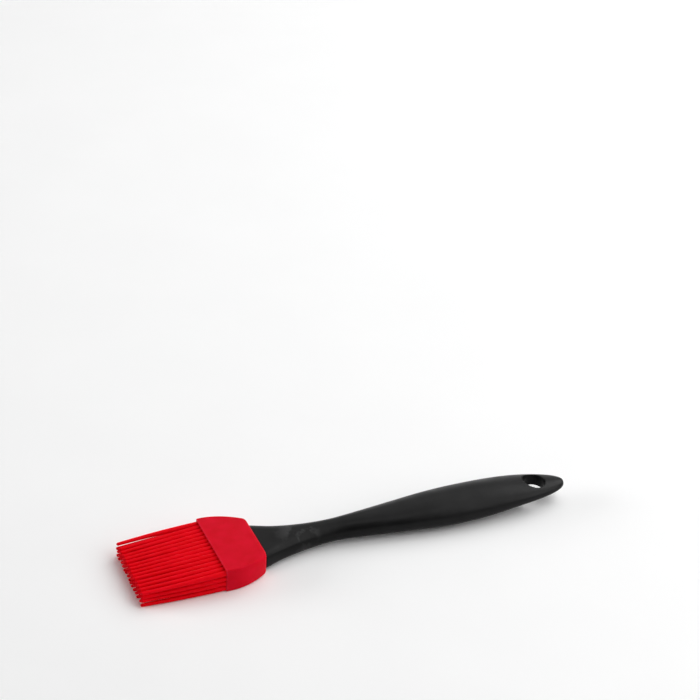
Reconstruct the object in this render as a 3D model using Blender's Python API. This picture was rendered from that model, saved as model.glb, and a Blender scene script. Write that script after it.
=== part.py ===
"""Silicone pastry brush, lying on a flat surface.

A black plastic handle ends in a flat, ribbed tang. A red silicone head goes over the tang: a sleeve with a
pocket, and four rows of bristles in front of it. Each row is a comb that bends about its own root bar.

Metres, +Z up, and Z = 0 is the surface under the brush. +X runs from the bristle tips to the handle's tail,
and X = 0 is the middle of the brush's length.
"""

import math

import bmesh
import bpy
from mathutils import Vector

MM = 0.001
GAP = 0.3 * MM  # left between two pieces that touch

BLACK = (0.021, 0.021, 0.022)
RED = (0.68, 0.006, 0.02)

# The whole brush.
LENGTH = 210 * MM
BRISTLE_LENGTH = 37.8 * MM  # in front of the sleeve
SLEEVE_LENGTH = 20.8 * MM

# The head's sleeve: straight at the front, then narrower and thinner towards the handle.
SLEEVE_WIDTH = 40.8 * MM
SLEEVE_BACK_WIDTH = 29.2 * MM
SLEEVE_THICKNESS = 11.4 * MM
SLEEVE_UNDERSIDE_RISE = 0.3 * MM  # at the back
SLEEVE_FRONT_CORNER = 0.5 * MM  # radius of the long edges, which grows towards the handle
SLEEVE_BACK_CORNER = 2.2 * MM
SLEEVE_SIDE_START = 3 * MM  # where the sides start to curve in, from the front
SLEEVE_TAPER_START = 7 * MM  # where the underside starts to rise
FRONT_EDGE = 0.5 * MM
BACK_EDGE = 1.2 * MM
SLEEVE_STATIONS = (5, 8, 11, 12.5, 14, 15.5, 17, 18.3)  # sections between the edges, in mm from the front
MOUTH_EDGE = 0.5 * MM

# The tang, and the pocket that it fills.
TANG_Z = 5.4 * MM
TANG_LENGTH = 16.5 * MM
TANG_WIDTH = 20 * MM
TANG_TIP_WIDTH = 18 * MM
TANG_THICKNESS = 5.2 * MM
TANG_TIP_THICKNESS = 4.8 * MM
TANG_POWER = 6.0  # how square its section is, like SECTION_POWER below
TANG_TIP_EDGE = 1.2 * MM
POCKET_CORNER = 0.8 * MM
RIB_COUNT = 3
RIB_HEIGHT = 0.5 * MM
RIB_LENGTH = 2.2 * MM

# The handle's plan, as half-widths: a flared shoulder, a waist, a grip, and a rounded tail.
SHOULDER_HALF_WIDTH = 12.9 * MM
WAIST_HALF_WIDTH = 5.3 * MM
GRIP_HALF_WIDTH = 11.25 * MM
WAIST_X = -9 * MM
GRIP_X = 52 * MM
FLARE_POWER = 2.1
GRIP_POWER = 1.3
TAIL_POWER = 2.25  # 2 is half an ellipse, and a larger power is blunter
TAIL_ROUNDING = 7 * MM  # the tail also thins to nothing over this much half-width
TAIL_TIP_HALF_WIDTH = 0.4 * MM

# The handle's side view: X, underside, the level where it is widest, and top, in millimetres.
SIDE_VIEW = (
    (-46, 0.5, 5.0, 9.8),
    (-30, 0.4, 5.0, 10.4),
    (-7, 1.2, 5.4, 11.3),
    (21, 0.6, 6.1, 12.3),
    (44, 0.0, 5.7, 13.6),
    (60, 0.8, 5.9, 13.8),
    (80, 3.0, 7.2, 12.6),
    (105, 5.4, 7.1, 9.1),
)

# How square the handle's section is: 2 is an ellipse, and a larger power is nearer to a rectangle.
SECTION_POWER = ((-46, 4.2), (-36, 3.0), (-22, 2.3), (-12, 2.1), (105, 2.2))

HOLE_DIAMETER = 10.5 * MM
HOLE_X = 89.7 * MM
HOLE_CUTTER_Z = (-5 * MM, 20 * MM)  # the ends of its cutter, clear of the handle

# The bristles.
ROW_COUNT = 4
BRISTLES_PER_ROW = 15
ROOT_PITCH = 2.7 * MM  # across the brush
TIP_PITCH = 2.42 * MM
TIP_FAN = 0.0045 * MM  # the tips spread with the cube of how far out the bristle is
ROW_PITCH = 2.55 * MM
TIP_ROW_PITCH = 1.9 * MM
ROOT_Z = 5.3 * MM  # the middle of the four rows at their roots, and at their tips
TIP_Z = 4.0 * MM
BAR_RADIUS = 1.1 * MM
BAR_OVERHANG = 0.1 * MM
ROOT_HALF_WIDTH = 1.2 * MM  # the bristles are wider than they are high
ROOT_HALF_HEIGHT = 1.0 * MM
TIP_HALF_WIDTH = 0.75 * MM
TIP_HALF_HEIGHT = 0.62 * MM
TIP_ROUNDING = 0.5 * MM

HANDLE_SIDES = 32
CORNER_STEPS = 4
GRIP_STATIONS = 19
TAIL_STATIONS = 12
HOLE_SIDES = 32
BAR_SIDES = 12
BRISTLE_SIDES = 8

TIP_X = -LENGTH / 2
TAIL_X = LENGTH / 2
SLEEVE_FRONT_X = TIP_X + BRISTLE_LENGTH
SLEEVE_BACK_X = SLEEVE_FRONT_X + SLEEVE_LENGTH
SHOULDER_X = SLEEVE_BACK_X + GAP
HEAD_Z = SLEEVE_THICKNESS / 2
BAR_X = SLEEVE_FRONT_X - GAP - BAR_RADIUS


def clear_scene():
    for thing in list(bpy.data.objects):
        bpy.data.objects.remove(thing)


def make_material(name, colour, roughness):
    material = bpy.data.materials.new(name)
    material.use_nodes = True
    shader = material.node_tree.nodes["Principled BSDF"]
    shader.inputs["Base Color"].default_value = (*colour, 1)
    shader.inputs["Roughness"].default_value = roughness
    shader.inputs["Metallic"].default_value = 0
    return material


def mix(start, end, share):
    return start + (end - start) * share


def smooth_curve(knots, x):
    """The height at x of a curve through the (x, height) knots that never overshoots them."""
    slopes = [(b[1] - a[1]) / (b[0] - a[0]) for a, b in zip(knots, knots[1:])]
    tangents = [0.0]
    for before, after in zip(slopes, slopes[1:]):
        turns_back = before * after <= 0
        tangents.append(0.0 if turns_back else 2 * before * after / (before + after))
    tangents.append(slopes[-1])
    last = len(knots) - 2
    i = next((i for i in range(last) if x < knots[i + 1][0]), last)
    width = knots[i + 1][0] - knots[i][0]
    t = min(max((x - knots[i][0]) / width, 0.0), 1.0)
    start = knots[i][1] * (1 + 2 * t) + tangents[i] * width * t
    end = knots[i + 1][1] * (3 - 2 * t) - tangents[i + 1] * width * (1 - t)
    return start * (1 - t) ** 2 + end * t**2


def superellipse(centre, across, up, sides, power=2.0, down=None):
    """A ring of points round centre, from its half-axes. Without down, its lower half mirrors up."""
    ring = []
    for i in range(sides):
        angle = 2 * math.pi * (i + 0.5) / sides
        c = math.cos(angle)
        s = math.sin(angle)
        u = math.copysign(abs(c) ** (2 / power), c)
        v = math.copysign(abs(s) ** (2 / power), s)
        rise = up if v > 0 or down is None else down
        ring.append(centre + across * u + rise * v)
    return ring


def rounded_rectangle(x, half_width, underside, top, corner):
    """A ring in the plane at x, between two heights, with its four corners as arcs."""
    middle = (underside + top) / 2
    half_height = (top - underside) / 2
    ring = []
    for quarter in range(4):
        for step in range(CORNER_STEPS + 1):
            angle = math.pi / 2 * (quarter + step / CORNER_STEPS)
            side = 1 if quarter in (0, 3) else -1
            level = 1 if quarter in (0, 1) else -1
            y = side * (half_width - corner) + corner * math.cos(angle)
            z = level * (half_height - corner) + corner * math.sin(angle)
            ring.append(Vector((x, y, middle + z)))
    return ring


def loft(rings, body=None):
    """Adds to body a closed skin that joins each ring to the next and fills the first and the last."""
    body = body or bmesh.new()
    loops = [[body.verts.new(point) for point in ring] for ring in rings]
    for near, far in zip(loops, loops[1:]):
        for i in range(len(near)):
            body.faces.new((near[i - 1], near[i], far[i], far[i - 1]))
    body.faces.new(loops[0])
    body.faces.new(loops[-1])
    bmesh.ops.recalc_face_normals(body, faces=body.faces)
    return body


def add_object(name, body, material, parent=None, origin=Vector()):
    """Turns body, modelled in world coordinates, into an object whose own origin is at origin."""
    bmesh.ops.translate(body, verts=body.verts, vec=-origin)
    mesh = bpy.data.meshes.new(name)
    body.to_mesh(mesh)
    body.free()
    mesh.shade_smooth()
    mesh.set_sharp_from_angle(angle=math.radians(40))
    mesh.materials.append(material)
    thing = bpy.data.objects.new(name, mesh)
    thing.parent = parent
    thing.location = origin - (parent.location if parent else Vector())
    bpy.context.collection.objects.link(thing)
    return thing


def combine(target, other, operation):
    """Gives target a Boolean with other, which stays in the file as a wire guide."""
    other.hide_render = True
    other.display_type = "WIRE"
    boolean = target.modifiers.new(other.name, "BOOLEAN")
    boolean.operation = operation
    boolean.solver = "EXACT"
    boolean.object = other


def tang_size(x):
    """Half-width and half-thickness of the tang at x, over its ribs."""
    share = (SHOULDER_X - x) / TANG_LENGTH
    half_width = mix(TANG_WIDTH, TANG_TIP_WIDTH, share) / 2
    half_thickness = mix(TANG_THICKNESS, TANG_TIP_THICKNESS, share) / 2
    return half_width, half_thickness


def tang_ring(x, inset=0.0, depth=0.0):
    """The tang's section at x: inset on every side, and depth below the crest of the ribs."""
    half_width, half_thickness = tang_size(x)
    across = Vector((0, half_width - inset, 0))
    up = Vector((0, 0, half_thickness - inset - depth))
    return superellipse(Vector((x, 0, TANG_Z)), across, up, HANDLE_SIDES, TANG_POWER)


def tang_rings():
    """From the rounded tip back to the shoulder, over the cross ribs."""
    tip_x = SHOULDER_X - TANG_LENGTH
    rings = []
    for degrees in (20, 50, 90):
        angle = math.radians(degrees)
        inset = TANG_TIP_EDGE * (1 - math.sin(angle))
        x = tip_x + TANG_TIP_EDGE * (1 - math.cos(angle))
        rings.append(tang_ring(x, inset, RIB_HEIGHT))
    pitch = (TANG_LENGTH - TANG_TIP_EDGE) / (RIB_COUNT + 0.5)
    for i in range(RIB_COUNT):
        middle = tip_x + TANG_TIP_EDGE + pitch * (i + 0.6)
        for offset, depth in ((-0.5, RIB_HEIGHT), (-0.2, 0), (0.2, 0), (0.5, RIB_HEIGHT)):
            rings.append(tang_ring(middle + offset * RIB_LENGTH, 0, depth))
    rings.append(tang_ring(SHOULDER_X, 0, RIB_HEIGHT))
    return rings


def handle_half_width(x):
    """The handle's plan in front of the grip's widest place."""
    if x < WAIST_X:
        share = (WAIST_X - x) / (WAIST_X - SHOULDER_X)
        return mix(WAIST_HALF_WIDTH, SHOULDER_HALF_WIDTH, share**FLARE_POWER)
    share = (x - WAIST_X) / (GRIP_X - WAIST_X)
    return mix(WAIST_HALF_WIDTH, GRIP_HALF_WIDTH, math.sin(math.pi / 2 * share**GRIP_POWER))


def handle_ring(x, half_width, thinning=1.0):
    heights = []
    for column in (1, 2, 3):
        knots = [(knot[0], knot[column]) for knot in SIDE_VIEW]
        heights.append(smooth_curve(knots, x / MM) * MM)
    underside, level, top = heights
    up = Vector((0, 0, (top - level) * thinning))
    down = Vector((0, 0, (level - underside) * thinning))
    power = smooth_curve(SECTION_POWER, x / MM)
    return superellipse(Vector((x, 0, level)), Vector((0, half_width, 0)), up, HANDLE_SIDES, power, down)


def grip_rings():
    """From the shoulder back to the tail."""
    rings = []
    for i in range(GRIP_STATIONS):
        x = mix(SHOULDER_X, GRIP_X, i / GRIP_STATIONS)
        rings.append(handle_ring(x, handle_half_width(x)))
    for i in range(TAIL_STATIONS + 1):
        angle = math.pi / 2 * i / TAIL_STATIONS
        x = mix(GRIP_X, TAIL_X, math.sin(angle) ** (2 / TAIL_POWER))
        half_width = max(GRIP_HALF_WIDTH * math.cos(angle) ** (2 / TAIL_POWER), TAIL_TIP_HALF_WIDTH)
        share = min(half_width / TAIL_ROUNDING, 1)
        rings.append(handle_ring(x, half_width, math.sqrt(1 - (1 - share) ** 2)))
    return rings


def add_handle(material):
    handle = add_object("handle", loft(tang_rings() + grip_rings()), material)
    radius = HOLE_DIAMETER / 2
    across = Vector((radius, 0, 0))
    along = Vector((0, radius, 0))
    ends = [Vector((HOLE_X, 0, z)) for z in HOLE_CUTTER_Z]
    hole = loft([superellipse(end, across, along, HOLE_SIDES) for end in ends])
    combine(handle, add_object("hanging_hole", hole, material), "DIFFERENCE")


def sleeve_ring(x, inset_y=0.0, inset_z=0.0, corner_inset=0.0):
    """The sleeve's outside at x, drawn in by an inset at a rounded edge."""
    depth = x - SLEEVE_FRONT_X
    side = max(depth - SLEEVE_SIDE_START, 0) / (SLEEVE_LENGTH - SLEEVE_SIDE_START)
    taper = max(depth - SLEEVE_TAPER_START, 0) / (SLEEVE_LENGTH - SLEEVE_TAPER_START)
    half_width = mix(SLEEVE_WIDTH, SLEEVE_BACK_WIDTH, side**2) / 2 - inset_y
    corner = mix(SLEEVE_FRONT_CORNER, SLEEVE_BACK_CORNER, side) - corner_inset
    underside = SLEEVE_UNDERSIDE_RISE * taper**2 + inset_z
    return rounded_rectangle(x, half_width, underside, SLEEVE_THICKNESS - inset_z, corner)


def sleeve_rings():
    """The outside from the front to the back, round the mouth, and down the pocket to its floor."""
    rings = []
    for degrees in (0, 30, 60, 90):
        angle = math.radians(degrees)
        inset = FRONT_EDGE * (1 - math.sin(angle))
        x = SLEEVE_FRONT_X + FRONT_EDGE * (1 - math.cos(angle))
        rings.append(sleeve_ring(x, inset, inset, inset))
    for depth in SLEEVE_STATIONS:
        rings.append(sleeve_ring(SLEEVE_FRONT_X + depth * MM))
    for degrees in (0, 30, 60, 90):
        angle = math.radians(degrees)
        inset = BACK_EDGE * (1 - math.cos(angle))
        x = SLEEVE_BACK_X - BACK_EDGE * (1 - math.sin(angle))
        rings.append(sleeve_ring(x, inset, inset / 2))
    return rings + pocket_rings()


def pocket_ring(x, clearance):
    half_width, half_thickness = tang_size(x)
    underside = TANG_Z - half_thickness - clearance
    top = TANG_Z + half_thickness + clearance
    return rounded_rectangle(x, half_width + clearance, underside, top, POCKET_CORNER)


def pocket_rings():
    """From the rounded mouth down to the pocket's floor."""
    rings = []
    for degrees in (90, 45, 0):
        angle = math.radians(degrees)
        x = SLEEVE_BACK_X - MOUTH_EDGE * (1 - math.sin(angle))
        rings.append(pocket_ring(x, GAP + MOUTH_EDGE * (1 - math.cos(angle))))
    rings.append(pocket_ring(SHOULDER_X - TANG_LENGTH - GAP, GAP))
    return rings


def bristle_rings(row, column):
    """One bristle, from the middle of its root bar to its rounded tip."""
    level = row - (ROW_COUNT - 1) / 2
    side = column - (BRISTLES_PER_ROW - 1) / 2
    root = Vector((BAR_X, side * ROOT_PITCH, ROOT_Z + level * ROW_PITCH))
    tip_y = side * TIP_PITCH + side**3 * TIP_FAN
    tip = Vector((TIP_X, tip_y, TIP_Z + level * TIP_ROW_PITCH))
    rounding = TIP_ROUNDING / (BAR_X - TIP_X)
    sections = (
        (0, ROOT_HALF_WIDTH, ROOT_HALF_HEIGHT),
        (1 - rounding, TIP_HALF_WIDTH, TIP_HALF_HEIGHT),
        (1, TIP_HALF_WIDTH / 2, TIP_HALF_HEIGHT / 2),
    )
    rings = []
    for share, half_width, half_height in sections:
        across = Vector((0, half_width, 0))
        up = Vector((0, 0, half_height))
        rings.append(superellipse(root.lerp(tip, share), across, up, BRISTLE_SIDES))
    return rings


def bar_rings(height):
    """The root bar of one row, across the brush, with its two ends chamfered."""
    reach = (BRISTLES_PER_ROW - 1) / 2 * ROOT_PITCH + ROOT_HALF_WIDTH
    ends = (
        (-reach - BAR_OVERHANG, BAR_RADIUS / 2),
        (-reach, BAR_RADIUS),
        (reach, BAR_RADIUS),
        (reach + BAR_OVERHANG, BAR_RADIUS / 2),
    )
    rings = []
    for y, radius in ends:
        across = Vector((radius, 0, 0))
        up = Vector((0, 0, radius))
        rings.append(superellipse(Vector((BAR_X, y, height)), across, up, BAR_SIDES))
    return rings


def add_bristle_row(row, material, head):
    """A comb whose origin is on the axis that it bends about. Row 0 is the lowest."""
    height = ROOT_Z + (row - (ROW_COUNT - 1) / 2) * ROW_PITCH
    axis = Vector((BAR_X, 0, height))
    bar = loft(bar_rings(height))
    comb = add_object(f"bristle_row_{row + 1}", bar, material, head, axis)
    bristles = bmesh.new()
    for column in range(BRISTLES_PER_ROW):
        loft(bristle_rings(row, column), bristles)
    guide = add_object(f"bristles_of_row_{row + 1}", bristles, material, head, axis)
    combine(comb, guide, "UNION")


def add_head(material):
    """The sleeve and its bristles hang from an empty on the line that the head slides along."""
    head = bpy.data.objects.new("head", None)
    head.location = Vector((SLEEVE_FRONT_X, 0, HEAD_Z))
    bpy.context.collection.objects.link(head)
    add_object("head_sleeve", loft(sleeve_rings()), material, head, head.location)
    for row in range(ROW_COUNT):
        add_bristle_row(row, material, head)


clear_scene()
add_handle(make_material("handle_black", BLACK, 0.5))
add_head(make_material("silicone_red", RED, 0.45))
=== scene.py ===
"""The looks of a silicone pastry brush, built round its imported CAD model.

Metres, +Z up, in the CAD model's own frame: the brush lies on Z = 0 with its bristle tips towards -X. Each
visible piece is a fine mesh that follows the same formulas as the CAD node it stands for.
"""

import math
import random

import bmesh
import bpy
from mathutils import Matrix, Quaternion, Vector


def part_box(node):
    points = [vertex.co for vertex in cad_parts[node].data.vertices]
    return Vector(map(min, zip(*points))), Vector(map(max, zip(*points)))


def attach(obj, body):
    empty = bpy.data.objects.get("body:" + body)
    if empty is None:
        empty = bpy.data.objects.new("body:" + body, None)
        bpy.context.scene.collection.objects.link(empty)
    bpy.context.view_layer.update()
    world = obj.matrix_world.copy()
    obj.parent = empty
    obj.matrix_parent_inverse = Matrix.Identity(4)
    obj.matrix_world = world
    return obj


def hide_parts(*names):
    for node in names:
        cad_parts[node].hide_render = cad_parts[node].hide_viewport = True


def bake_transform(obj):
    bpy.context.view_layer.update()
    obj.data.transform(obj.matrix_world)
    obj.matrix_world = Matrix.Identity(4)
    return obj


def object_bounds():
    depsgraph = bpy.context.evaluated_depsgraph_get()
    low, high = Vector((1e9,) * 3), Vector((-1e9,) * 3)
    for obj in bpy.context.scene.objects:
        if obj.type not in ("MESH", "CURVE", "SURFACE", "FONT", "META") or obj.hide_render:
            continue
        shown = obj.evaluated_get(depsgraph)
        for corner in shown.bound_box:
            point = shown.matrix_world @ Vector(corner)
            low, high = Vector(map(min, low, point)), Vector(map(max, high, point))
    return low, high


MM = 0.001
GAP = 0.3 * MM  # left between two pieces that touch
WELD_DISTANCE = 0.0005 * MM

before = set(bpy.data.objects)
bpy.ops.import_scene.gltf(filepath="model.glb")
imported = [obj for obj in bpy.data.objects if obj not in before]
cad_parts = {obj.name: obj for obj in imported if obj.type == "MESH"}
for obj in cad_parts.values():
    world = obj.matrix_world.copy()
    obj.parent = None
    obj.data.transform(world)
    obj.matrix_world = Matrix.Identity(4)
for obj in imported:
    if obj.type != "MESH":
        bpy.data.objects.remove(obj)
cad_low, cad_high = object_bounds()
sleeve_low, sleeve_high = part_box("head_sleeve")

TIP_X = cad_low.x
TAIL_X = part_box("handle")[1].x
SLEEVE_FRONT_X = sleeve_low.x
SLEEVE_BACK_X = sleeve_high.x
SLEEVE_LENGTH = SLEEVE_BACK_X - SLEEVE_FRONT_X
SLEEVE_THICKNESS = sleeve_high.z
SHOULDER_X = SLEEVE_BACK_X + GAP

# The sleeve.
SLEEVE_HALF_WIDTH = sleeve_high.y
SLEEVE_BACK_HALF_WIDTH = 14.6 * MM
SLEEVE_UNDERSIDE_RISE = 0.3 * MM
SLEEVE_FRONT_CORNER = 0.5 * MM
SLEEVE_BACK_CORNER = 2.2 * MM
SLEEVE_SIDE_START = 3 * MM
SLEEVE_TAPER_START = 7 * MM
FRONT_EDGE = 0.5 * MM
RIM_FLAT = 0.3 * MM  # width of the rim's flat front
RIM_BEVEL = 0.1 * MM  # inside the rim
RIM_CORNER_SHARE = 0.7  # how far the rim's corner radius shrinks with its inset
WEB_DEPTH = 0.5 * MM  # the web that the bristles grow from lies this far behind the rim
BACK_EDGE = 1.2 * MM
MOUTH_EDGE = 0.5 * MM
POCKET_CORNER = 0.8 * MM

# The handle's tang.
TANG_Z = 5.4 * MM
TANG_LENGTH = 16.5 * MM
TANG_HALF_WIDTHS = (10 * MM, 9 * MM)  # at the shoulder and at the tip
TANG_HALF_THICKNESSES = (2.6 * MM, 2.4 * MM)
TANG_POWER = 6.0
TANG_TIP_EDGE = 1.2 * MM
RIB_COUNT = 3
RIB_HEIGHT = 0.5 * MM
RIB_LENGTH = 2.2 * MM

# The handle's plan and side view, as in the CAD model.
SHOULDER_HALF_WIDTH = 12.9 * MM
WAIST_HALF_WIDTH = 5.3 * MM
GRIP_HALF_WIDTH = 11.25 * MM
WAIST_X = -9 * MM
GRIP_X = 52 * MM
FLARE_POWER = 2.1
GRIP_POWER = 1.3
TAIL_POWER = 2.25
TAIL_ROUNDING = 7 * MM
SHOULDER_EDGE = 0.5 * MM
SIDE_VIEW = (  # X, underside, widest level and top, in millimetres
    (-46, 0.5, 5.0, 9.8),
    (-30, 0.4, 5.0, 10.4),
    (-7, 1.2, 5.4, 11.3),
    (21, 0.6, 6.1, 12.3),
    (44, 0.0, 5.7, 13.6),
    (60, 0.8, 5.9, 13.8),
    (80, 3.0, 7.2, 12.6),
    (105, 5.4, 7.1, 9.1),
)
SECTION_POWER = ((-46, 4.2), (-36, 3.0), (-22, 2.3), (-12, 2.1), (105, 2.2))

HOLE_X = 89.7 * MM
HOLE_RADIUS = 5.25 * MM
HOLE_EDGE = 0.7 * MM
TAIL_PATCH_X = 77.5 * MM  # behind this the skin is laid out round the hanging hole

# The bristles.
ROW_COUNT = 4
BRISTLES_PER_ROW = 15
ROOT_PITCH = 2.7 * MM
TIP_PITCH = 2.42 * MM
TIP_FAN = 0.0045 * MM  # the tips spread with the cube of how far out the bristle is
MIDDLE_FAN = 0.0012 * MM  # and so do their middles
TRIM_SKEW = 0.055 * MM  # each bristle is this much longer than its neighbour towards +Y
ROOT_ROW_PITCH = 2.55 * MM
TIP_ROW_PITCH = 1.9 * MM
ROOT_Z = 5.3 * MM  # the middle of the rows
TIP_Z = 4.0 * MM
ROOT_HALF_WIDTH = 1.27 * MM
ROOT_HALF_HEIGHT = 1.18 * MM
TIP_HALF_WIDTH = 0.75 * MM
TIP_HALF_HEIGHT = 0.64 * MM
BRISTLE_POWER = 2.5  # its section is a little squarer than an ellipse
TIP_ROUNDING = 0.8 * MM
TRIM = 0.5 * MM  # each bristle is shorter than its place allows by up to this much
WANDER_Y = 0.3 * MM  # its tip strays by up to this much
WANDER_Z = 0.15 * MM
BOW = 0.12 * MM  # and its middle by this much

CAMERA_TARGET = Vector((59.2, 147.8, 0)) * MM
CAMERA_DISTANCE = 1.214
CAMERA_AZIMUTH = -23.8  # degrees, like the elevation and the roll
CAMERA_ELEVATION = 31.7
CAMERA_ROLL = 3.13
LENS = 123.4  # millimetres, like the sensor
SENSOR_WIDTH = 36
WORLD_STRENGTH = 0.02
FLOOR_HALF_SIZE = 3.0
SOFTBOX_DISTANCE = 1.6
SOFTBOXES = (  # name, turn from the camera's side, elevation, width and height in metres, watts
    ("right", 75, 28, 1.6, 1.0, 12.5),
    ("top_right", 90, 62, 1.6, 0.9, 10.5),
    ("back_right", 135, 35, 1.0, 1.0, 8.5),
    ("top_back", 180, 54, 1.0, 1.3, 5.5),
    ("low_back", 180, 12, 1.0, 0.6, 2),
    ("low_left", -90, 13, 1.0, 0.6, 16),
)

HANDLE_SIDES = 96
GRIP_STATIONS = 120
RIB_STEPS = 6  # on each side of a rib's crest
TAIL_OUTLINE_STEPS = 40  # on each side of the tail's end
TAIL_SKIN_STEPS = 16
LIP_STEPS = 6
CORNER_STEPS = 8
ARC_STEP = 15  # degrees between the rings of a rounded edge
BACK_ARC_STEP = 10  # the same on the sleeve's back edge
SLEEVE_STATIONS = 40
BRISTLE_SIDES = 14
BRISTLE_STEPS = 18
DOME_DEGREES = (20, 40, 60, 78)  # where the rings of a bristle's domed tip lie


def mix(start, end, share):
    return start + (end - start) * share


def smooth_curve(knots, x):
    """The height at x of a curve through the (x, height) knots that never overshoots them."""
    slopes = [(b[1] - a[1]) / (b[0] - a[0]) for a, b in zip(knots, knots[1:])]
    tangents = [0.0]
    for before, after in zip(slopes, slopes[1:]):
        turns_back = before * after <= 0
        tangents.append(0.0 if turns_back else 2 * before * after / (before + after))
    tangents.append(slopes[-1])
    last = len(knots) - 2
    i = next((i for i in range(last) if x < knots[i + 1][0]), last)
    width = knots[i + 1][0] - knots[i][0]
    t = min(max((x - knots[i][0]) / width, 0.0), 1.0)
    start = knots[i][1] * (1 + 2 * t) + tangents[i] * width * t
    end = knots[i + 1][1] * (3 - 2 * t) - tangents[i + 1] * width * (1 - t)
    return start * (1 - t) ** 2 + end * t**2


def superellipse(centre, half_width, half_height, sides, power, half_depth=None):
    """A ring in the plane of constant X. Its first point is at +Y, and it rises from there.

    With half_depth, the half below centre has a half-height of its own.
    """
    ring = []
    for i in range(sides):
        angle = 2 * math.pi * i / sides
        c = math.cos(angle)
        s = math.sin(angle)
        reach = half_height if s >= 0 or half_depth is None else half_depth
        y = half_width * math.copysign(abs(c) ** (2 / power), c)
        z = reach * math.copysign(abs(s) ** (2 / power), s)
        ring.append(centre + Vector((0, y, z)))
    return ring


def rounded_rectangle(x, half_width, underside, top, corner):
    middle = (underside + top) / 2
    half_height = (top - underside) / 2
    ring = []
    for quarter in range(4):
        for step in range(CORNER_STEPS + 1):
            angle = math.pi / 2 * (quarter + step / CORNER_STEPS)
            side = 1 if quarter in (0, 3) else -1
            level = 1 if quarter in (0, 1) else -1
            y = side * (half_width - corner) + corner * math.cos(angle)
            z = level * (half_height - corner) + corner * math.sin(angle)
            ring.append(Vector((x, y, middle + z)))
    return ring


def loft(body, rings, close_start=True, close_end=True, surface=0):
    """Adds to body a skin that joins each ring to the next. Surface numbers the piece's material."""
    loops = [[body.verts.new(point) for point in ring] for ring in rings]
    faces = []
    for near, far in zip(loops, loops[1:]):
        for i in range(len(near)):
            faces.append(body.faces.new((near[i - 1], near[i], far[i], far[i - 1])))
    if close_start:
        faces.append(body.faces.new(loops[0]))
    if close_end:
        faces.append(body.faces.new(loops[-1]))
    for face in faces:
        face.material_index = surface


def finish_piece(name, body, materials, sharp_degrees=35):
    bmesh.ops.remove_doubles(body, verts=body.verts, dist=WELD_DISTANCE)
    bmesh.ops.recalc_face_normals(body, faces=body.faces)
    mesh = bpy.data.meshes.new(name)
    body.to_mesh(mesh)
    body.free()
    mesh.shade_smooth()
    mesh.set_sharp_from_angle(angle=math.radians(sharp_degrees))
    for material in materials:
        mesh.materials.append(material)
    piece = bpy.data.objects.new(name, mesh)
    bpy.context.scene.collection.objects.link(piece)
    return piece


# ---- materials


class Graph:
    """Short names for building one material's node tree."""

    def __init__(self, name):
        self.material = bpy.data.materials.new(name)
        self.material.use_nodes = True
        self.tree = self.material.node_tree
        self.shader = self.tree.nodes["Principled BSDF"]
        self.place = self.add("ShaderNodeTexCoord").outputs["Object"]

    def add(self, kind, **settings):
        node = self.tree.nodes.new(kind)
        for name, value in settings.items():
            setattr(node, name, value)
        return node

    def link(self, source, target):
        self.tree.links.new(source, target)

    def noise(self, size, detail=2.0, roughness=0.5):
        """Noise whose features are about size metres across."""
        node = self.add("ShaderNodeTexNoise")
        node.inputs["Scale"].default_value = 1 / size
        node.inputs["Detail"].default_value = detail
        node.inputs["Roughness"].default_value = roughness
        self.link(self.place, node.inputs["Vector"])
        return node.outputs["Fac"]

    def nearness(self, centre, reach):
        """1 close to centre, fading to 0 at reach metres from it."""
        node = self.add("ShaderNodeVectorMath", operation="DISTANCE")
        self.link(self.place, node.inputs[0])
        node.inputs[1].default_value = centre
        return self.spread(node.outputs["Value"], reach, 0.4 * reach)

    def times(self, first, second):
        node = self.add("ShaderNodeMath", operation="MULTIPLY")
        self.link(first, node.inputs[0])
        self.link(second, node.inputs[1])
        return node.outputs["Value"]

    def spread(self, value, low, high, to_low=0.0, to_high=1.0):
        node = self.add("ShaderNodeMapRange")
        node.inputs["From Min"].default_value = low
        node.inputs["From Max"].default_value = high
        node.inputs["To Min"].default_value = to_low
        node.inputs["To Max"].default_value = to_high
        self.link(value, node.inputs["Value"])
        return node.outputs["Result"]

    def blend(self, share, first, second):
        """A colour between two, each a colour or another output."""
        node = self.add("ShaderNodeMix", data_type="RGBA")
        self.link(share, node.inputs["Factor"])
        for socket, colour in ((node.inputs[6], first), (node.inputs[7], second)):
            if isinstance(colour, tuple):
                socket.default_value = (*colour, 1)
            else:
                self.link(colour, socket)
        return node.outputs[2]

    def bump(self, height, depth, below=None):
        node = self.add("ShaderNodeBump")
        node.inputs["Strength"].default_value = 1
        node.inputs["Distance"].default_value = depth
        self.link(height, node.inputs["Height"])
        if below is not None:
            self.link(below, node.inputs["Normal"])
        return node.outputs["Normal"]


def silicone_material(name, deep, pale, roughness):
    """Satin silicone: faintly cloudy colour, a soft uneven sheen, and a fine moulded grain."""
    g = Graph(name)
    cloud = g.spread(g.noise(5 * MM, 3), 0.35, 0.65)
    fleck = g.spread(g.noise(0.5 * MM, 2), 0.3, 0.7, 0, 0.35)
    g.link(g.blend(fleck, g.blend(cloud, deep, pale), pale), g.shader.inputs["Base Color"])
    sheen = g.spread(g.noise(2.5 * MM, 3), 0.3, 0.7, roughness - 0.05, roughness + 0.07)
    g.link(sheen, g.shader.inputs["Roughness"])
    grain = g.bump(g.noise(0.35 * MM, 2), 0.012 * MM)
    g.link(g.bump(g.noise(4 * MM, 2), 0.05 * MM, grain), g.shader.inputs["Normal"])
    g.shader.inputs["IOR"].default_value = 1.41
    g.shader.inputs["Specular IOR Level"].default_value = 0.05
    g.shader.inputs["Subsurface Weight"].default_value = 0.3
    g.shader.inputs["Subsurface Radius"].default_value = (1.0, 0.12, 0.10)
    g.shader.inputs["Subsurface Scale"].default_value = 1.2 * MM
    return g.material


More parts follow.
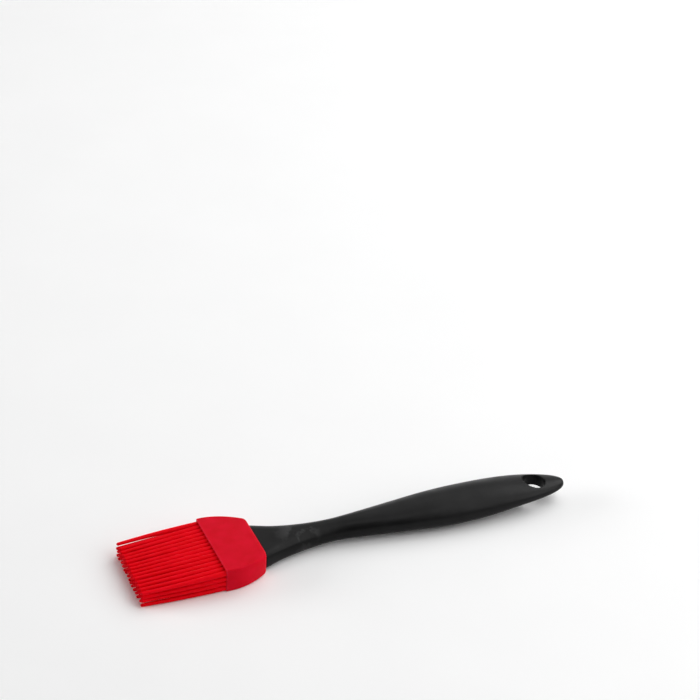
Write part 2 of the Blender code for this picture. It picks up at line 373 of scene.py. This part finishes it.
def handle_material():
    """Matte black moulded plastic with a fine spark grain; its colour is darkened towards the neck as
    painted shade, with lighter streaky patches there.
    """
    g = Graph("handle_plastic")
    cloud = g.spread(g.noise(9 * MM, 3), 0.35, 0.65)
    grip = g.blend(cloud, (0.0046, 0.0046, 0.0048), (0.0070, 0.0070, 0.0073))
    # Painted shade: away from the tail the colour fades to near black, darkest at the neck.
    neck_shaded_base = g.blend(g.nearness(Vector((95, 0, 8)) * MM, 130 * MM), (0.0012, 0.0012, 0.0013), grip)
    # Lighter streaky patches are painted near the neck.
    streaks = g.spread(g.noise(6 * MM, 3), 0.50, 0.62)
    light_streaks = g.times(streaks, g.nearness(Vector((-27, -1, 10)) * MM, 12 * MM))
    g.link(g.blend(light_streaks, neck_shaded_base, (0.0280, 0.0280, 0.0284)), g.shader.inputs["Base Color"])
    handled = g.spread(g.noise(7 * MM, 4, 0.6), 0.35, 0.68, 0.30, 0.44)
    g.link(handled, g.shader.inputs["Roughness"])
    grain = g.bump(g.noise(0.3 * MM, 2), 0.010 * MM)
    g.link(g.bump(g.noise(6 * MM, 2), 0.03 * MM, grain), g.shader.inputs["Normal"])
    g.shader.inputs["IOR"].default_value = 1.48
    g.shader.inputs["Specular IOR Level"].default_value = 0.15
    return g.material


def floor_material():
    g = Graph("pale_table")
    tone = g.spread(g.noise(0.05, 2), 0.3, 0.7)
    g.link(g.blend(tone, (0.955, 0.955, 0.955), (0.97, 0.97, 0.97)), g.shader.inputs["Base Color"])
    g.shader.inputs["Roughness"].default_value = 0.8
    g.shader.inputs["Specular IOR Level"].default_value = 0.2
    return g.material


# ---- the handle


def handle_half_width(x):
    if x < WAIST_X:
        share = (WAIST_X - x) / (WAIST_X - SHOULDER_X)
        return mix(WAIST_HALF_WIDTH, SHOULDER_HALF_WIDTH, share**FLARE_POWER)
    if x < GRIP_X:
        share = (x - WAIST_X) / (GRIP_X - WAIST_X)
        return mix(WAIST_HALF_WIDTH, GRIP_HALF_WIDTH, math.sin(math.pi / 2 * share**GRIP_POWER))
    share = min((x - GRIP_X) / (TAIL_X - GRIP_X), 1)
    return GRIP_HALF_WIDTH * (1 - share**TAIL_POWER) ** (1 / TAIL_POWER)


def side_view(x, column):
    return smooth_curve([(knot[0], knot[column]) for knot in SIDE_VIEW], x / MM) * MM


def handle_section(x):
    """At x: half-width, widest level, height over it, depth under it, and squareness."""
    underside, level, top = (side_view(x, column) for column in (1, 2, 3))
    half_width = handle_half_width(x)
    share = min(half_width / TAIL_ROUNDING, 1)
    thinning = math.sqrt(1 - (1 - share) ** 2)
    power = smooth_curve(SECTION_POWER, x / MM)
    return half_width, level, (top - level) * thinning, (level - underside) * thinning, power


def handle_ring(x, inset=0.0):
    half_width, level, rise, depth, power = handle_section(x)
    centre = Vector((x, 0, level))
    return superellipse(centre, half_width - inset, rise - inset, HANDLE_SIDES, power, depth - inset)


def tang_size(x):
    share = (SHOULDER_X - x) / TANG_LENGTH
    return mix(*TANG_HALF_WIDTHS, share), mix(*TANG_HALF_THICKNESSES, share)


def tang_ring(x, inset=0.0, depth=0.0):
    half_width, half_thickness = tang_size(x)
    centre = Vector((x, 0, TANG_Z))
    return superellipse(
        centre, half_width - inset, half_thickness - inset - depth, HANDLE_SIDES, TANG_POWER
    )


def tang_rings():
    """From the rounded tip back to the shoulder, over the cross ribs."""
    tip_x = SHOULDER_X - TANG_LENGTH
    rings = []
    for degrees in range(ARC_STEP, 91, ARC_STEP):
        angle = math.radians(degrees)
        inset = TANG_TIP_EDGE * (1 - math.sin(angle))
        x = tip_x + TANG_TIP_EDGE * (1 - math.cos(angle))
        rings.append(tang_ring(x, inset, RIB_HEIGHT))
    pitch = (TANG_LENGTH - TANG_TIP_EDGE) / (RIB_COUNT + 0.5)
    for i in range(RIB_COUNT):
        middle = tip_x + TANG_TIP_EDGE + pitch * (i + 0.6)
        for step in range(-RIB_STEPS, RIB_STEPS + 1):
            share = step / RIB_STEPS
            rise = math.sqrt(1 - abs(share) ** 3)
            rings.append(tang_ring(middle + share / 2 * RIB_LENGTH, 0, RIB_HEIGHT * (1 - rise)))
    rings.append(tang_ring(SHOULDER_X, 0, RIB_HEIGHT))
    return rings


def grip_rings():
    """From the shoulder's rounded edge back to where the tail's skin starts."""
    rings = []
    for degrees in range(0, 91, ARC_STEP):
        angle = math.radians(degrees)
        x = SHOULDER_X + SHOULDER_EDGE * (1 - math.cos(angle))
        rings.append(handle_ring(x, SHOULDER_EDGE * (1 - math.sin(angle))))
    first_x = SHOULDER_X + SHOULDER_EDGE
    for i in range(1, GRIP_STATIONS + 1):
        rings.append(handle_ring(mix(first_x, TAIL_PATCH_X, i / GRIP_STATIONS)))
    return rings


def skin_height(x, y, side):
    """Height of the handle's skin over (x, y). Side is 1 for the top and -1 for the underside."""
    half_width, level, rise, depth, power = handle_section(x)
    reach = rise if side > 0 else -depth
    share = min(abs(y) / max(half_width, 1e-9), 1)
    return level + reach * (1 - share**power) ** (1 / power)


def tail_edge():
    """Plan points round the tail's patch: across its front, then round the tail's outline."""
    front = [(point.x, point.y) for point in handle_ring(TAIL_PATCH_X)[: HANDLE_SIDES // 2 + 1]]
    start = math.asin(((TAIL_PATCH_X - GRIP_X) / (TAIL_X - GRIP_X)) ** (TAIL_POWER / 2))
    outline = []
    for i in range(1, 2 * TAIL_OUTLINE_STEPS):
        angle = mix(start, math.pi - start, i / (2 * TAIL_OUTLINE_STEPS))
        x = mix(GRIP_X, TAIL_X, math.sin(angle) ** (2 / TAIL_POWER))
        side = (i > TAIL_OUTLINE_STEPS) - (i < TAIL_OUTLINE_STEPS)
        outline.append((x, side * handle_half_width(x)))
    return front + outline


def tail_column(edge_x, edge_y):
    """A line of skin from the edge over the top to the hole, down its wall, and back underneath."""
    hole = Vector((HOLE_X, 0))
    edge = Vector((edge_x, edge_y))
    outward = (edge - hole).normalized()
    lip = hole + outward * (HOLE_RADIUS + HOLE_EDGE)
    wall = hole + outward * HOLE_RADIUS
    column = []
    for side in (1, -1):
        half = []
        for k in range(TAIL_SKIN_STEPS):
            place = lip.lerp(edge, math.sin(math.pi / 2 * (1 - k / TAIL_SKIN_STEPS)))
            half.append(Vector((*place, skin_height(*place, side))))
        over_lip = Vector((*lip, skin_height(*lip, side)))
        over_wall = Vector((*wall, skin_height(*wall, side)))
        in_wall = over_wall - Vector((0, 0, side * HOLE_EDGE))
        for k in range(LIP_STEPS + 1):
            t = k / LIP_STEPS
            half.append(over_lip * (1 - t) ** 2 + over_wall * 2 * t * (1 - t) + in_wall * t**2)
        column += half if side == 1 else half[::-1]
    return column


def add_tail(body):
    """The tail's skin, laid out in columns round the hanging hole."""
    columns = [[body.verts.new(point) for point in tail_column(*edge)] for edge in tail_edge()]
    for i, column in enumerate(columns):
        before = columns[i - 1]
        for k in range(len(column) - 1):
            body.faces.new((before[k], column[k], column[k + 1], before[k + 1]))


def add_handle():
    body = bmesh.new()
    loft(body, tang_rings() + grip_rings(), close_end=False)
    add_tail(body)
    handle = finish_piece("handle_moulding", body, [handle_material()])
    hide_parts("handle")
    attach(handle, "handle")


# ---- the head


def sleeve_ring(x, inset_y=0.0, inset_z=0.0, corner_inset=0.0):
    depth = max(x - SLEEVE_FRONT_X, 0)
    side = max(depth - SLEEVE_SIDE_START, 0) / (SLEEVE_LENGTH - SLEEVE_SIDE_START)
    taper = max(depth - SLEEVE_TAPER_START, 0) / (SLEEVE_LENGTH - SLEEVE_TAPER_START)
    half_width = mix(SLEEVE_HALF_WIDTH, SLEEVE_BACK_HALF_WIDTH, side**2) - inset_y
    corner = mix(SLEEVE_FRONT_CORNER, SLEEVE_BACK_CORNER, side) - corner_inset
    underside = SLEEVE_UNDERSIDE_RISE * taper**2 + inset_z
    return rounded_rectangle(x, half_width, underside, SLEEVE_THICKNESS - inset_z, corner)


def rim_rings():
    """From the sunken web, out over the rim, to the start of the sleeve's outside."""
    rings = []
    inner = FRONT_EDGE + RIM_FLAT
    for x_depth, inset in ((WEB_DEPTH, inner), (RIM_BEVEL, inner), (RIM_BEVEL / 5, inner * 0.9)):
        rings.append(sleeve_ring(SLEEVE_FRONT_X + x_depth, inset, inset, inset * RIM_CORNER_SHARE))
    for degrees in range(0, 91, ARC_STEP):
        angle = math.radians(degrees)
        inset = FRONT_EDGE * (1 - math.sin(angle))
        x = SLEEVE_FRONT_X + FRONT_EDGE * (1 - math.cos(angle))
        rings.append(sleeve_ring(x, inset, inset, inset * RIM_CORNER_SHARE))
    return rings


def pocket_ring(x, clearance):
    half_width, half_thickness = tang_size(x)
    underside = TANG_Z - half_thickness - clearance
    top = TANG_Z + half_thickness + clearance
    return rounded_rectangle(x, half_width + clearance, underside, top, POCKET_CORNER)


def sleeve_rings():
    """From behind the rim, along the outside, round the mouth, and down the pocket to its floor."""
    rings = rim_rings()[-1:]
    first = SLEEVE_FRONT_X + FRONT_EDGE
    last = SLEEVE_BACK_X - BACK_EDGE
    for i in range(1, SLEEVE_STATIONS):
        rings.append(sleeve_ring(mix(first, last, i / SLEEVE_STATIONS)))
    for degrees in range(0, 91, BACK_ARC_STEP):
        angle = math.radians(degrees)
        inset = BACK_EDGE * (1 - math.cos(angle))
        x = SLEEVE_BACK_X - BACK_EDGE * (1 - math.sin(angle))
        rings.append(sleeve_ring(x, inset, inset / 2))
    for degrees in range(90, -1, -ARC_STEP):
        angle = math.radians(degrees)
        x = SLEEVE_BACK_X - MOUTH_EDGE * (1 - math.sin(angle))
        rings.append(pocket_ring(x, GAP + MOUTH_EDGE * (1 - math.cos(angle))))
    rings.append(pocket_ring(SHOULDER_X - TANG_LENGTH - GAP, GAP))
    return rings


def add_sleeve():
    body = bmesh.new()
    loft(body, sleeve_rings(), close_start=False)
    # The rim, from the web out over the front edge, takes a paler red than the outside: a painted
    # highlight for the light line the front edge catches.
    loft(body, rim_rings(), close_end=False, surface=1)
    outside = silicone_material("sleeve_silicone", (0.61, 0.0012, 0.012), (0.68, 0.0030, 0.020), 0.46)
    rim = silicone_material("rim_painted_highlight_silicone", (0.68, 0.0070, 0.025), (0.74, 0.0140, 0.038), 0.46)
    sleeve = finish_piece("sleeve_moulding", body, [outside, rim])
    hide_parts("head_sleeve")
    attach(sleeve, "head")


def bristle_rings(row, column, rng):
    """One bristle: a slightly bowed taper from inside the web, and the dome that closes its tip."""
    level = row - (ROW_COUNT - 1) / 2
    side = column - (BRISTLES_PER_ROW - 1) / 2
    columns_beyond = BRISTLES_PER_ROW - 1 - column
    root = Vector((SLEEVE_FRONT_X + 2 * WEB_DEPTH, side * ROOT_PITCH, ROOT_Z + level * ROOT_ROW_PITCH))
    trim = rng.uniform(0, TRIM) - columns_beyond * TRIM_SKEW
    wander_y = rng.uniform(-WANDER_Y, WANDER_Y)
    wander_z = rng.uniform(-WANDER_Z, WANDER_Z)
    bow = rng.uniform(-BOW, BOW) + side**3 * MIDDLE_FAN
    tip = Vector((
        TIP_X + trim + TIP_ROUNDING,
        side * TIP_PITCH + side**3 * TIP_FAN + wander_y,
        TIP_Z + level * TIP_ROW_PITCH + wander_z,
    ))
    shaft = []
    for step in range(BRISTLE_STEPS + 1):
        t = step / BRISTLE_STEPS
        centre = root.lerp(tip, t)
        centre.y += bow * math.sin(math.pi * t)
        half_width = mix(ROOT_HALF_WIDTH, TIP_HALF_WIDTH, t)
        half_height = mix(ROOT_HALF_HEIGHT, TIP_HALF_HEIGHT, t)
        shaft.append(superellipse(centre, half_width, half_height, BRISTLE_SIDES, BRISTLE_POWER))
    dome = shaft[-1:]
    for degrees in DOME_DEGREES:
        angle = math.radians(degrees)
        centre = tip - Vector((TIP_ROUNDING * math.sin(angle), 0, 0))
        shrink = math.cos(angle)
        half_width = TIP_HALF_WIDTH * shrink
        half_height = TIP_HALF_HEIGHT * shrink
        dome.append(superellipse(centre, half_width, half_height, BRISTLE_SIDES, BRISTLE_POWER))
    return shaft, dome


def add_bristles():
    """One piece for each row, standing in for that row's CAD part."""
    side = silicone_material("bristle_silicone", (0.78, 0.0008, 0.006), (0.86, 0.0016, 0.011), 0.42)
    # The domed tips take a darker red than the shafts: painted shade on the bristle ends.
    end = silicone_material("bristle_end_painted_shade_silicone", (0.60, 0.0008, 0.006), (0.68, 0.0016, 0.011), 0.5)
    rng = random.Random(1838)
    for row in range(ROW_COUNT):
        body = bmesh.new()
        for column in range(BRISTLES_PER_ROW):
            shaft, dome = bristle_rings(row, column, rng)
            loft(body, shaft, close_end=False)
            loft(body, dome, close_start=False, surface=1)
        piece = finish_piece(f"bristles_{row + 1}_moulding", body, [side, end], 60)
        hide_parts(f"bristle_row_{row + 1}")
        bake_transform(piece)


# ---- the studio


def add_floor():
    body = bmesh.new()
    bmesh.ops.create_grid(body, x_segments=8, y_segments=8, size=FLOOR_HALF_SIZE)
    mesh = bpy.data.meshes.new("floor")
    body.to_mesh(mesh)
    body.free()
    mesh.materials.append(floor_material())
    floor = bpy.data.objects.new("floor", mesh)
    bpy.context.scene.collection.objects.link(floor)


def add_camera():
    """Looks down at the brush from beyond its bristles, with a long lens and a slight roll."""
    azimuth = math.radians(CAMERA_AZIMUTH)
    elevation = math.radians(CAMERA_ELEVATION)
    roll = math.radians(CAMERA_ROLL)
    flat = math.cos(elevation)
    back = Vector((math.sin(azimuth) * flat, -math.cos(azimuth) * flat, math.sin(elevation)))
    data = bpy.data.cameras.new("camera")
    data.sensor_width = SENSOR_WIDTH
    data.lens = LENS
    camera = bpy.data.objects.new("camera", data)
    camera.location = CAMERA_TARGET + back * CAMERA_DISTANCE
    camera.rotation_mode = "QUATERNION"
    camera.rotation_quaternion = (-back).to_track_quat("-Z", "Y") @ Quaternion((0, 0, 1), roll)
    bpy.context.scene.collection.objects.link(camera)
    bpy.context.scene.camera = camera


def add_softbox(name, turn, elevation, width, height, power):
    """A softbox aimed at the brush, turned about Z from the camera's side of it."""
    flat = math.cos(math.radians(elevation))
    azimuth = math.radians(CAMERA_AZIMUTH + turn)
    away = Vector((math.sin(azimuth) * flat, -math.cos(azimuth) * flat, math.sin(math.radians(elevation))))
    data = bpy.data.lights.new(name, "AREA")
    data.shape = "RECTANGLE"
    data.size = width
    data.size_y = height
    data.energy = power
    light = bpy.data.objects.new(name, data)
    light.location = away * SOFTBOX_DISTANCE
    light.rotation_mode = "QUATERNION"
    light.rotation_quaternion = (-away).to_track_quat("-Z", "Y")
    bpy.context.scene.collection.objects.link(light)


def add_studio():
    add_floor()
    add_camera()
    for softbox in SOFTBOXES:
        add_softbox(*softbox)
    world = bpy.data.worlds.new("studio")
    world.use_nodes = True
    world.node_tree.nodes["Background"].inputs["Color"].default_value = (1, 1, 1, 1)
    world.node_tree.nodes["Background"].inputs["Strength"].default_value = WORLD_STRENGTH
    bpy.context.scene.world = world
    bpy.context.scene.view_settings.view_transform = "Standard"


add_studio()
add_handle()
add_sleeve()
add_bristles()
